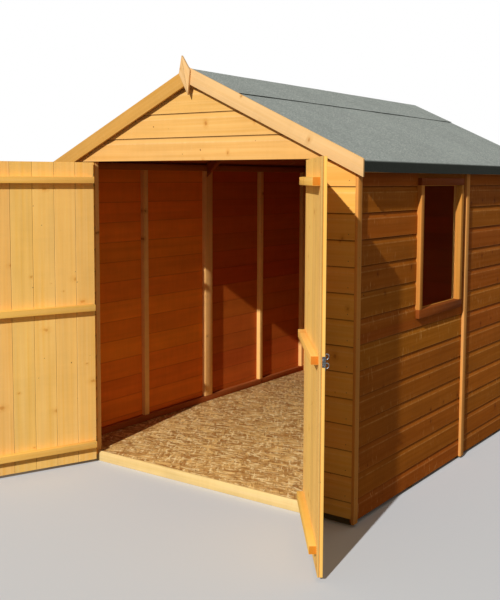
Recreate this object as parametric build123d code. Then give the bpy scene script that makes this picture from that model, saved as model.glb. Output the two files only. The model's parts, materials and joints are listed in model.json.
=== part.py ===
"""Apex garden shed, about 8 by 6 ft: shiplap walls on a timber frame, a boarded and felted roof,
a boarded floor on bearers, one fixed side window and a pair of ledged doors standing open.

The frame: +Z up, +X to the right seen from the front, +Y from the doors to the back wall.
The origin is on the ground, at the centre of the walls' footprint.
"""

from math import cos, radians, sin, tan
import os

from build123d import *

# Walls, in millimetres
wall_width = 1830.0
wall_depth = 2495.0
wall_top = 1645.0
cladding = 12.0
ground_gap = 18.0
front_ground_gap = 38.0
frame_deep = 28.0
frame_wide = 38.0
back_studs = 3

# Floor
bearer_tall = 45.0
bearer_wide = 45.0
bearer_count = 5
deck_thick = 11.0
threshold_thick = 12.0
threshold_set = 2.0

# Doorway and doors
doorway_side = 233.0
jamb_clearance = 5.0
meeting_gap = 10.0
head_clearance = 5.0
leaf_board = 9.0
ledge_thick = 30.0
ledge_wide = 35.0
ledge_stop = 48.0
ledge_hinge_stop = 9.0
low_ledge_rise = 72.0
middle_ledge_rise = 825.0
top_ledge_drop = 76.0
closing_strip_thick = 12.0
closing_strip_wide = 38.0
left_door_angle = 111.5
right_door_angle = 127.0

# Hinges
strap_long = 300.0
strap_root = 36.0
strap_wide = 32.0
strap_thick = 3.0
strap_tip = 14.0
knuckle_radius = 4.5
end_knuckle_tall = 18.0
pin_radius = 2.5
pin_clearance = 0.3
knuckle_gap = 0.5
plate_wide = 30.0

# Hasp on the closing strip and keeper on the other leaf
hasp_rise = 846.0
hasp_long = 30.0
hasp_tall = 66.0
hasp_thick = 2.0
hasp_lip_tall = 42.0
hasp_knob_radius = 5.0
hasp_knob_reach = 3.0
hasp_knob_rise = 5.0
staple_wire_radius = 2.2
staple_reach = 15.0
staple_tall = 20.0
staple_corner_radius = 8.0
staple_spread = 35.0
keeper_long = 30.0
keeper_edge = 8.0

# Window in the right wall
window_to_joint = 74.5
window_width = 539.0
window_tall = 697.0
window_head_drop = 82.0
stile_wide = 34.0
head_tall = 36.0
sill_tall = 44.0
window_proud = 20.0
window_reveal = 32.0
pane_thick = 4.0
pane_lap = 10.0

# Roof
roof_pitch = 25.0
roof_board = 11.0
felt_thick = 2.5
felt_lap = 285.0
eaves_reach = 52.0
verge_reach = 18.0
fold_tall = 50.0
eaves_batten_wide = 28.0
purlin_wide = 38.0
purlin_deep = 28.0
purlin_place = 450.0
rafter_deep = 38.0
gusset_thick = 9.0
gusset_long = 150.0
barge_wide = 72.0
barge_thick = 12.0
barge_stand = 5.0

# Finial
finial_long = 196.0
finial_wide = 70.0
finial_shoulder = 83.0
finial_thick = 12.0
finial_lean = 11.0
finial_offset = 10.0
finial_tip_above_ridge = 62.0

# Corner and cover strips
strip_thick = 14.0
corner_strip_wide = 38.0
cover_strip_wide = 42.0
strip_ground_gap = 13.0

# Sizes that follow from those above
half_width = wall_width / 2
half_depth = wall_depth / 2
inner_x = half_width - cladding
inner_y = half_depth - cladding
room_x = inner_x - frame_deep
room_y = inner_y - frame_deep
floor_top = bearer_tall + deck_thick
slope = tan(radians(roof_pitch))
plumb = 1 / cos(radians(roof_pitch))
ridge_under = wall_top + half_width * slope
board_top = roof_board * plumb
felt_top = board_top + felt_thick * plumb
cap_top = felt_top + felt_thick * plumb
eaves_x = half_width + eaves_reach
board_eaves_x = eaves_x - felt_thick
verge_y = half_depth + verge_reach
half_doorway = half_width - doorway_side
leaf_hinge_x = half_doorway - jamb_clearance
leaf_width = leaf_hinge_x - meeting_gap / 2
leaf_low = ground_gap
leaf_high = wall_top - head_clearance
ledge_lows = (
    leaf_low + low_ledge_rise,
    leaf_low + middle_ledge_rise,
    leaf_high - top_ledge_drop - ledge_wide,
)
hasp_middle = leaf_low + hasp_rise
pin_x = half_doorway - jamb_clearance / 2
pin_y = -half_depth - knuckle_radius + pin_clearance
tie_tall = frame_wide


def slab(x, y, z):
    """A box between pairs of coordinates."""
    corner = (min(x), min(y), min(z))
    size = (abs(x[1] - x[0]), abs(y[1] - y[0]), abs(z[1] - z[0]))
    return Pos(*corner) * Box(*size, align=(Align.MIN, Align.MIN, Align.MIN))


def plate(points, y):
    """A flat shape drawn in X and Z, thickened between two Y coordinates."""
    outline = Polyline(*[(px, y[0], pz) for px, pz in points], close=True)
    return extrude(make_face(outline), amount=y[1] - y[0], dir=(0, 1, 0))


def under(x):
    """Height of the roof boards' underside at a distance x from the ridge."""
    return ridge_under - abs(x) * slope


def band(side, inner, outer, top, bottom, y):
    """A strip of one roof slope: from inner to outer, between heights above the underside."""
    points = [
        (side * inner, under(inner) + bottom),
        (side * outer, under(outer) + bottom),
        (side * outer, under(outer) + top),
        (side * inner, under(inner) + top),
    ]
    return plate(points, y)


def both(make):
    """The left and the right copy of a shape."""
    return [make(-1), make(1)]


def mirrored_pair(inner, outer, side):
    """A pair of X coordinates on one side of the middle."""
    return (side * inner, side * outer)


# Floor: bearers across the shed, boards on them, and a strip that closes the front edge
threshold_front = -inner_y + threshold_set
deck_front = threshold_front + threshold_thick
first_bearer = deck_front + bearer_wide / 2
last_bearer = inner_y - bearer_wide / 2
half_row = (bearer_count - 1) // 2


def bearer_place(index):
    """Centre of a bearer, with the middle one under the origin."""
    if index < half_row:
        return first_bearer * (half_row - index) / half_row
    return last_bearer * (index - half_row) / half_row


def make_bearers():
    pieces = []
    for index in range(bearer_count):
        middle = bearer_place(index)
        y = (middle - bearer_wide / 2, middle + bearer_wide / 2)
        pieces.append(slab((-inner_x, inner_x), y, (0, bearer_tall)))
    return pieces


def make_floor():
    deck = slab((-inner_x, inner_x), (deck_front, inner_y), (bearer_tall, floor_top))
    post_edge = half_doorway + frame_wide
    threshold = slab((-post_edge, post_edge), (threshold_front, deck_front), (0, floor_top))
    return {"floor_bearers": make_bearers(), "floor_deck": [deck], "door_threshold": [threshold]}


# Walls: the boards' skin, one slab for each panel, split round the window
window_y = (-window_to_joint - window_width, -window_to_joint)
window_high = wall_top - window_head_drop
window_low = window_high - window_tall
wall_z = (ground_gap, wall_top)


def make_side_skins():
    skin_x = (inner_x, half_width)
    left_x = (-half_width, -inner_x)
    front_y = (-inner_y, 0)
    rear_y = (0, inner_y)
    below = slab(skin_x, front_y, (ground_gap, window_low))
    beside = [
        slab(skin_x, (-inner_y, window_y[0]), (window_low, wall_top)),
        slab(skin_x, (window_y[1], 0), (window_low, wall_top)),
    ]
    over = slab(skin_x, window_y, (window_high, wall_top))
    return {
        "left_wall_front": [slab(left_x, front_y, wall_z)],
        "left_wall_rear": [slab(left_x, rear_y, wall_z)],
        "right_wall_below_window": [below],
        "right_wall_beside_window": beside,
        "right_wall_over_window": [over],
        "right_wall_rear": [slab(skin_x, rear_y, wall_z)],
    }


def gable_points():
    return [(-half_width, wall_top), (half_width, wall_top), (0, ridge_under)]


def make_end_skins():
    front_y = (-half_depth, -inner_y)
    rear_y = (inner_y, half_depth)
    front_z = (front_ground_gap, wall_top)
    back = [(-half_width, ground_gap), (half_width, ground_gap)]
    back += [(half_width, wall_top), (0, ridge_under), (-half_width, wall_top)]
    return {
        "front_wall_left": [slab((-half_width, -half_doorway), front_y, front_z)],
        "front_wall_right": [slab((half_doorway, half_width), front_y, front_z)],
        "front_gable": [plate(gable_points(), front_y)],
        "back_wall": [plate(back, rear_y)],
    }


# Frames inside the walls: rails lie on the floor and under the roof, studs stand between them
rail_low = (floor_top, floor_top + frame_wide)
rail_high = (wall_top - frame_wide, wall_top)
stud_z = (rail_low[1], rail_high[0])


def centred(middle, width):
    return (middle - width / 2, middle + width / 2)


def make_side_frame(side):
    x = mirrored_pair(room_x, inner_x, side)
    panel_middle = inner_y / 2
    studs_y = [
        (-room_y, -room_y + frame_wide),
        centred(-panel_middle, frame_wide),
        (-frame_wide, frame_wide),
        centred(panel_middle, frame_wide),
        (room_y - frame_wide, room_y),
    ]
    rails = [slab(x, (-room_y, room_y), rail_low), slab(x, (-room_y, room_y), rail_high)]
    if side > 0:
        studs_y[1] = (window_y[0] - frame_wide, window_y[0])
        studs_y[2] = (window_y[1], frame_wide)
        rails.append(slab(x, window_y, (window_low - frame_wide, window_low)))
    studs = [slab(x, y, stud_z) for y in studs_y]
    return studs, rails


def make_tie(y):
    """The beam across a gable at wall height, cut to the roof's slope at its ends."""
    reach = inner_x
    shoulder = (ridge_under - wall_top - tie_tall) / slope
    points = [(-reach, wall_top), (reach, wall_top), (reach, under(reach))]
    points += [(shoulder, wall_top + tie_tall), (-shoulder, wall_top + tie_tall)]
    points += [(-reach, under(reach))]
    return plate(points, y)


def make_front_frame():
    y = (-inner_y, -room_y)
    post_z = (floor_top, wall_top)
    jamb = (half_doorway, half_doorway + frame_wide)
    corner = (inner_x - frame_wide, inner_x)
    posts = []
    rails = []
    for side in (-1, 1):
        posts.append(slab(mirrored_pair(*jamb, side), y, post_z))
        posts.append(slab(mirrored_pair(*corner, side), y, post_z))
        rails.append(slab(mirrored_pair(jamb[1], corner[0], side), y, rail_low))
    return {"front_posts": posts, "front_rails": rails + [make_tie(y)]}


def make_back_frame():
    y = (room_y, inner_y)
    corner = (inner_x - frame_wide, inner_x)
    posts = both(lambda side: slab(mirrored_pair(*corner, side), y, (floor_top, wall_top)))
    for index in range(back_studs):
        middle = corner[0] * (2 * (index + 1) / (back_studs + 1) - 1)
        posts.append(slab(centred(middle, frame_wide), y, (rail_low[1], wall_top)))
    rail = slab((-corner[0], corner[0]), y, rail_low)
    return {"back_studs": posts, "back_rails": [rail, make_tie(y)]}


def make_frames():
    left_studs, left_rails = make_side_frame(-1)
    right_studs, right_rails = make_side_frame(1)
    nodes = {
        "left_wall_studs": left_studs,
        "left_wall_rails": left_rails,
        "right_wall_studs": right_studs,
        "right_wall_rails": right_rails,
    }
    nodes.update(make_front_frame())
    nodes.update(make_back_frame())
    return nodes


# Strips that cover the corners and the joint between the side panels
def make_strips():
    outer = half_width + strip_thick
    top = under(outer)
    z = (strip_ground_gap, top)
    corners = []
    covers = []
    for side in (-1, 1):
        x = mirrored_pair(half_width, outer, side)
        corners.append(slab(x, (-half_depth, -half_depth + corner_strip_wide), z))
        corners.append(slab(x, (half_depth - corner_strip_wide, half_depth), z))
        covers.append(slab(x, centred(0, cover_strip_wide), z))
    return {"corner_strips": corners, "cover_strips": covers}


# Window: a fixed frame through the wall, its stiles between a sill and a head that run right across,
# with the pane against its back
def make_window():
    x = (half_width + window_proud - window_reveal, half_width + window_proud)
    inside_y = (window_y[0] + stile_wide, window_y[1] - stile_wide)
    sill_top = window_low + sill_tall
    head_low = window_high - head_tall
    stile_z = (sill_top, head_low)
    stiles = [
        slab(x, (window_y[0], inside_y[0]), stile_z),
        slab(x, (inside_y[1], window_y[1]), stile_z),
    ]
    rails = [
        slab(x, window_y, (head_low, window_high)),
        slab(x, window_y, (window_low, sill_top)),
    ]
    pane_x = (x[0] - pane_thick, x[0])
    pane_y = (inside_y[0] - pane_lap, inside_y[1] + pane_lap)
    pane = slab(pane_x, pane_y, (sill_top - pane_lap, head_low + pane_lap))
    return {"window_stiles": stiles, "window_rails": rails, "window_pane": [pane]}


# Roof: boards on rafters and purlins, felt over them, barge boards at both ends. The front ones stand
# above the felt, and the rear ones stop level with the boards under it.
def make_roof_frame(side):
    end_y = inner_y
    rafter_drop = -rafter_deep * plumb
    tie_top = wall_top + tie_tall
    foot = (ridge_under + rafter_drop - tie_top) / slope
    heel = (ridge_under - tie_top) / slope
    rafters = []
    for y in ((-end_y, -room_y), (room_y, end_y)):
        points = [
            (0, ridge_under + rafter_drop),
            (side * foot, tie_top),
            (side * heel, tie_top),
            (0, ridge_under),
        ]
        rafters.append(plate(points, y))
    middle = centred(0, frame_deep)
    rafters.append(band(side, 0, room_x, 0, rafter_drop, middle))
    half_run = purlin_wide / plumb / 2
    inner = purlin_place - half_run
    outer = purlin_place + half_run
    purlins = []
    for y in ((-room_y, middle[0]), (middle[1], room_y)):
        purlins.append(band(side, inner, outer, 0, -purlin_deep * plumb, y))
    return rafters, purlins


def make_gussets():
    """Plates on the front face of the middle rafters: one at the ridge, one at each wall."""
    y = (-frame_deep / 2 - gusset_thick, -frame_deep / 2)
    run = gusset_long / plumb
    low = ridge_under - run * slope - rafter_deep * plumb
    top = [(0, ridge_under), (run, under(run)), (run, low), (-run, low), (-run, under(run))]
    plates = [plate(top, y)]
    for side in (-1, 1):
        heel = [
            (side * room_x, under(room_x)),
            (side * (room_x - run), under(room_x - run)),
            (side * (room_x - run), under(room_x - run) - rafter_deep * plumb),
            (side * room_x, rail_high[0] - frame_wide),
        ]
        plates.append(plate(heel, y))
    return plates


def make_felt(side):
    y = (-verge_y, verge_y)
    sheet = band(side, 0, eaves_x, felt_top, board_top, y)
    fold_low = under(eaves_x) + felt_top - fold_tall
    fold = [
        (side * board_eaves_x, fold_low),
        (side * eaves_x, fold_low),
        (side * eaves_x, under(eaves_x) + felt_top),
        (side * board_eaves_x, under(board_eaves_x) + felt_top),
    ]
    return sheet + plate(fold, y)


def make_felt_cap():
    y = (-verge_y, verge_y)
    peak = ridge_under + felt_top
    top = ridge_under + cap_top
    edge_low = peak - felt_lap * slope
    edge_top = top - felt_lap * slope
    points = [(-felt_lap, edge_low), (0, peak), (felt_lap, edge_low)]
    points += [(felt_lap, edge_top), (0, top), (-felt_lap, edge_top)]
    return plate(points, y)


def make_eaves_batten(side):
    inner = board_eaves_x - eaves_batten_wide
    low = under(eaves_x) + felt_top - fold_tall
    points = [
        (side * inner, low),
        (side * board_eaves_x, low),
        (side * board_eaves_x, under(board_eaves_x)),
        (side * inner, under(inner)),
    ]
    return plate(points, (-verge_y, verge_y))


def make_barge(side, y, top):
    return band(side, 0, eaves_x, top, top - barge_wide * plumb, y)


def make_finial():
    """A kite of flat board, leaning a little to the left over the front peak."""
    lean = radians(finial_lean)
    tip_x = -finial_offset - finial_long / 2 * sin(lean)
    tip_z = ridge_under + cap_top + finial_tip_above_ridge
    outline = [
        (0, 0),
        (finial_wide / 2, -finial_shoulder),
        (0, -finial_long),
        (-finial_wide / 2, -finial_shoulder),
    ]
    points = []
    for across, down in outline:
        x = tip_x + across * cos(lean) - down * sin(lean)
        z = tip_z + across * sin(lean) + down * cos(lean)
        points.append((x, z))
    front = -verge_y - barge_thick
    return plate(points, (front - finial_thick, front))


def make_roof():
    y = (-verge_y, verge_y)
    front = (-verge_y - barge_thick, -verge_y)
    rear = (verge_y, verge_y + barge_thick)
    nodes = {"truss_gussets": make_gussets(), "felt_ridge_cap": [make_felt_cap()]}
    purlins = []
    battens = []
    for side, name in ((-1, "left"), (1, "right")):
        rafters, side_purlins = make_roof_frame(side)
        purlins += side_purlins
        battens.append(make_eaves_batten(side))
        nodes[f"rafters_{name}"] = rafters
        nodes[f"roof_boards_{name}"] = [band(side, 0, board_eaves_x, board_top, 0, y)]
        nodes[f"felt_{name}"] = [make_felt(side)]
        nodes[f"front_barge_{name}"] = [make_barge(side, front, cap_top + barge_stand)]
        nodes[f"rear_barge_{name}"] = [make_barge(side, rear, board_top)]
    nodes["purlins"] = purlins
    nodes["eaves_battens"] = battens
    nodes["front_finial"] = [make_finial()]
    return nodes


# Doors: drawn closed as the left leaf, mirrored for the right one, then swung open
leaf_front = -half_depth
free_edge = -leaf_hinge_x + leaf_width


def ledge_middle(low):
    return low + ledge_wide / 2


def make_leaf_boards():
    x = (-leaf_hinge_x, free_edge)
    return [slab(x, (leaf_front, leaf_front + leaf_board), (leaf_low, leaf_high))]


def make_ledges():
    x = (-leaf_hinge_x + ledge_hinge_stop, free_edge - ledge_stop)
    y = (leaf_front + leaf_board, leaf_front + leaf_board + ledge_thick)
    return [slab(x, y, (low, low + ledge_wide)) for low in ledge_lows]


def knuckle(low, high, radius):
    return Pos(-pin_x, pin_y, low) * Cylinder(
        radius, high - low, align=(Align.CENTER, Align.CENTER, Align.MIN)
    )


def make_strap(low):
    """One strap of a tee hinge, tapering along the leaf, with its eye round the pin."""
    middle = ledge_middle(low)
    start = -pin_x
    root_end = start + strap_root
    tip = start + strap_long
    outline = [
        (start, middle - strap_wide / 2),
        (root_end, middle - strap_wide / 2),
        (tip, middle - strap_tip / 2),
        (tip, middle + strap_tip / 2),
        (root_end, middle + strap_wide / 2),
        (start, middle + strap_wide / 2),
    ]
    strap = plate(outline, (leaf_front - strap_thick, leaf_front))
    z = (middle - strap_wide / 2, middle + strap_wide / 2)
    eye = knuckle(z[0], z[1], knuckle_radius)
    hole = knuckle(z[0], z[1], pin_radius + pin_clearance)
    return (strap + eye) - hole


def make_hinge_plate(low):
    """The fixed half of a tee hinge: plate on the wall, end knuckles and the pin."""
    middle = ledge_middle(low)
    reach = strap_wide / 2 + knuckle_gap
    top = reach + end_knuckle_tall
    x = (-pin_x - knuckle_radius - plate_wide, -pin_x - knuckle_radius)
    y = (leaf_front - strap_thick, leaf_front)
    body = slab(x, y, (middle - top, middle + top))
    for z in ((middle - top, middle - reach), (middle + reach, middle + top)):
        body += slab((x[1], -pin_x), y, z)
        body += knuckle(z[0], z[1], knuckle_radius)
    return body + knuckle(middle - top, middle + top, pin_radius)


def make_closing_strip():
    x = (free_edge - closing_strip_wide, free_edge)
    y = (leaf_front - closing_strip_thick, leaf_front)
    return [slab(x, y, (leaf_low, leaf_high))]


def make_staple(x, root, middle):
    """A wire loop standing out of a plate, its legs one above the other."""
    low = middle - staple_tall / 2
    high = middle + staple_tall / 2
    out = root - staple_reach
    path = FilletPolyline(
        (x, root, low), (x, out, low), (x, out, high), (x, root, high), radius=staple_corner_radius
    )
    section = Plane(origin=(x, root, low), z_dir=(0, -1, 0)) * Circle(staple_wire_radius)
    return sweep(section, path=path)


def make_hasp():
    """Plate on the closing strip, turned over its free edge, with a knob there and two loops."""
    face = leaf_front - closing_strip_thick
    x = (free_edge - hasp_long, free_edge + hasp_thick)
    y = (face - hasp_thick, face)
    base = slab(x, y, centred(hasp_middle, hasp_tall))
    lip = slab((free_edge, x[1]), (y[0], leaf_front), centred(hasp_middle, hasp_lip_tall))
    knob_place = (x[1], (face + leaf_front) / 2, hasp_middle + hasp_knob_rise)
    knob = Plane(origin=knob_place, z_dir=(1, 0, 0)) * Cylinder(
        hasp_knob_radius, hasp_knob_reach, align=(Align.CENTER, Align.CENTER, Align.MIN)
    )
    hasp = base + lip + knob
    for step in (-1, 1):
        hasp += make_staple(free_edge - hasp_long / 2, face, hasp_middle + step * staple_spread / 2)
    return [hasp]


def make_keeper():
    x = (free_edge - keeper_edge - keeper_long, free_edge - keeper_edge)
    base = slab(x, (leaf_front - hasp_thick, leaf_front), centred(hasp_middle, hasp_tall))
    return [base + make_staple((x[0] + x[1]) / 2, leaf_front, hasp_middle)]


def swing(shapes, side, degrees):
    """A leaf's shapes, mirrored to their side and turned open about that side's pin."""
    placed = []
    for shape in shapes:
        if side > 0:
            shape = mirror(shape, about=Plane.YZ)
        axis = Axis((side * pin_x, pin_y, 0), (0, 0, side))
        placed.append(shape.rotate(axis, degrees))
    return placed


def make_doors():
    straps = [make_strap(low) for low in ledge_lows]
    plates = [make_hinge_plate(low) for low in ledge_lows]
    nodes = {"hinge_plates": plates + swing(plates, 1, 0)}
    for side, name, angle in ((-1, "left", left_door_angle), (1, "right", right_door_angle)):
        nodes[f"{name}_door_boards"] = swing(make_leaf_boards(), side, angle)
        nodes[f"{name}_door_ledges"] = swing(make_ledges(), side, angle)
        nodes[f"{name}_door_straps"] = swing(straps, side, angle)
    nodes["right_door_closing_strip"] = swing(make_closing_strip(), 1, right_door_angle)
    nodes["right_door_hasp"] = swing(make_hasp(), 1, right_door_angle)
    nodes["left_door_keeper"] = swing(make_keeper(), -1, left_door_angle)
    return nodes


nodes = {}
nodes.update(make_floor())
nodes.update(make_side_skins())
nodes.update(make_end_skins())
nodes.update(make_frames())
nodes.update(make_strips())
nodes.update(make_window())
nodes.update(make_roof())
nodes.update(make_doors())

os.makedirs("parts", exist_ok=True)
for name, shapes in nodes.items():
    solids = [solid for shape in shapes for solid in shape.solids()]
    piece = solids[0] if len(solids) == 1 else Compound(children=solids)
    piece.label = name
    export_step(piece, f"parts/{name}.step")
print(len(nodes), "nodes written")
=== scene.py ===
import json
import math
from functools import partial

import bpy
import numpy as np
from mathutils import Matrix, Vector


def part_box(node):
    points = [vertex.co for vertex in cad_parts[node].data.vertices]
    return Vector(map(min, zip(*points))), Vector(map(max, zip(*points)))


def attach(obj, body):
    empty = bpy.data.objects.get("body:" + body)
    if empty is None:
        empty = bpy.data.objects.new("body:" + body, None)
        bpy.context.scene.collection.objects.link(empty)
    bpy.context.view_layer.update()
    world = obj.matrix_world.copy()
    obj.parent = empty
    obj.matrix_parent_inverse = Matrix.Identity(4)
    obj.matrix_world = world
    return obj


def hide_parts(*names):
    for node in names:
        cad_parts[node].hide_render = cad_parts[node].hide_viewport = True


# Apex garden shed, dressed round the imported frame. Metres, +Z up, the doors on the -Y side.
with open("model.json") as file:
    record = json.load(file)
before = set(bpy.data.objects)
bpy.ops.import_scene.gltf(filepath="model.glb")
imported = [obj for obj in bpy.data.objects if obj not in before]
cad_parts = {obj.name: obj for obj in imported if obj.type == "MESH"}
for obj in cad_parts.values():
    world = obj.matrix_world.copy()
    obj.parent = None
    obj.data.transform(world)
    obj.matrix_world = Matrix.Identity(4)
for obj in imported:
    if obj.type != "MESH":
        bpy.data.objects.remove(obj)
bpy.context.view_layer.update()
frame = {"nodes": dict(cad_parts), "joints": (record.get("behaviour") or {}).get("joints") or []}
draw = np.random.default_rng(23)        # one seeded source for every random choice
print("frame:", len(frame["nodes"]), "nodes")


# Camera

photo = {
    "place": (2.7818, -4.6412, 1.5517),
    "yaw": 35.573,          # degrees from +Y towards -X
    "pitch": -4.976,
    "roll": 0.233,
    "lens": 53.13,          # mm
    "film": 36.0,           # mm, the frame's long side
    "shiftUp": -0.0722,     # the optical axis lies above the middle of the frame
}


def addCamera(view):
    # looks along (-sin yaw*cos pitch, cos yaw*cos pitch, sin pitch), and leans to the side by the roll
    yaw, pitch, roll = (math.radians(view[key]) for key in ("yaw", "pitch", "roll"))
    ahead = np.array([-math.sin(yaw) * math.cos(pitch), math.cos(yaw) * math.cos(pitch), math.sin(pitch)])
    level = np.array([math.cos(yaw), math.sin(yaw), 0.0])
    over = np.cross(level, ahead)
    right = level * math.cos(roll) + over * math.sin(roll)
    up = over * math.cos(roll) - level * math.sin(roll)
    data = bpy.data.cameras.new("camera")
    data.lens = view["lens"]
    data.sensor_width = view["film"]
    data.shift_y = view["shiftUp"]
    camera = bpy.data.objects.new("camera", data)
    bpy.context.scene.collection.objects.link(camera)
    turn = Matrix(np.column_stack([right, up, -ahead]).tolist()).to_4x4()
    camera.matrix_world = Matrix.Translation(view["place"]) @ turn
    bpy.context.scene.camera = camera


addCamera(photo)
print("camera set")


# Shader nodes

def linear(hexColour):
    # sRGB hex to linear: c/12.92 below 0.04045, else ((c+0.055)/1.055)^2.4
    c = np.array([int(hexColour[i:i + 2], 16) for i in (1, 3, 5)]) / 255
    c = np.where(c <= 0.04045, c / 12.92, ((c + 0.055) / 1.055) ** 2.4)
    return (*c.tolist(), 1.0)


def add(tree, kind, inputs=(), **settings):
    # one node: settings are its properties, inputs its values or what is linked to them, by name or in order
    made = tree.nodes.new("ShaderNode" + kind)
    for key, value in settings.items():
        setattr(made, key, value)
    for key, value in inputs.items() if isinstance(inputs, dict) else enumerate(inputs):
        if isinstance(value, bpy.types.Node):
            value = value.outputs[0]
        if isinstance(value, bpy.types.NodeSocket):
            tree.links.new(value, made.inputs[key])
        else:
            made.inputs[key].default_value = value
    return made


def emptied(owner):
    # empties a material's or a world's node tree, and gives the function that adds nodes to it
    owner.use_nodes = True
    owner.node_tree.nodes.clear()
    return partial(add, owner.node_tree)


midRange = (0.3, 0.7)           # the part of a noise's values that is spread over a range

timber = {
    # how often each pattern changes, per metre along the grain and across it
    "noise": {"drift": (2.4, 13), "streaks": (1.3, 62), "bands": (0.6, 22), "cloud": (3.2, 9),
              "chatter": (38, 5), "tears": (150, 13), "fur": (18, 420)},
    "detail": 2.0,
    "breakUp": 0.6,             # roughness of those patterns
    "ragged": (55.0, 0.012),    # a knot's outline: bends per metre, and how far they go
    "leastKnot": 0.0004,
    "core": (0.3, 1.1),         # where a knot, the halo round it and a pin knot fade out, in radii
    "halo": (0.6, 3.0),
    "pin": (0.7, 1.1),
    "pinDark": 0.85,
    "aroundKnot": 1.3,          # how far the rings swing round a knot, in radii
    "ringBreak": 1.5,           # detail in the rings' spacing
    "late": (0.5, 0.72),        # the dark part of a ring
    "tear": (0.62, 0.72),       # torn flecks, pale partly as painted glints
    "tearPatch": (0.47, 0.62),
    "lipWearAndHighlight": (0.3, 0.65, 0.1),        # where a lip is drawn pale, as wear and painted highlight, and its least wear
    "paleStreak": (0.3, 0.75, 0.0, 0.8),
    "ridge": 0.7,               # height of the dark rings over the fur, and depth of the torn flecks
    "pit": -0.8,
    "relief": 0.0006,
    "sheen": 0.06,              # roughness more or less
    "gloss": 0.05,              # specular level
}


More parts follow.
